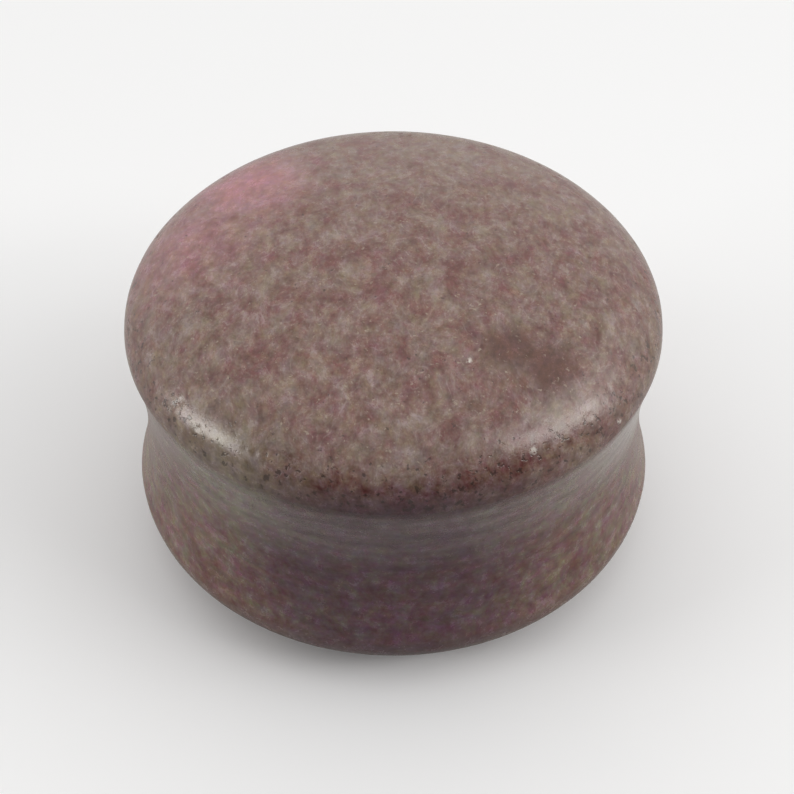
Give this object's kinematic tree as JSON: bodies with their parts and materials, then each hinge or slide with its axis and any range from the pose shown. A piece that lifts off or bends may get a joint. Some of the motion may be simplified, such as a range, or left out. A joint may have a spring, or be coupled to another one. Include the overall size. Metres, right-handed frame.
{
  "type": "ear plug gauge",
  "caption": "Round double-flared ear plug in polished stone, with a domed face, rounded rims and a hollow saddle for the stretched lobe.",
  "frame": {"origin": "middle of the flat back, in the plane that the plug stands on", "axes": "+Z along the plug's axis, out of the domed front face; X and Y are alike, because the plug is round"},
  "size_m": [0.0316, 0.0316, 0.0214],
  "materials": {
    "stone": "polished"
  },
  "bodies": {
    "root": {"plug": "stone"}
  },
  "joints": []
}
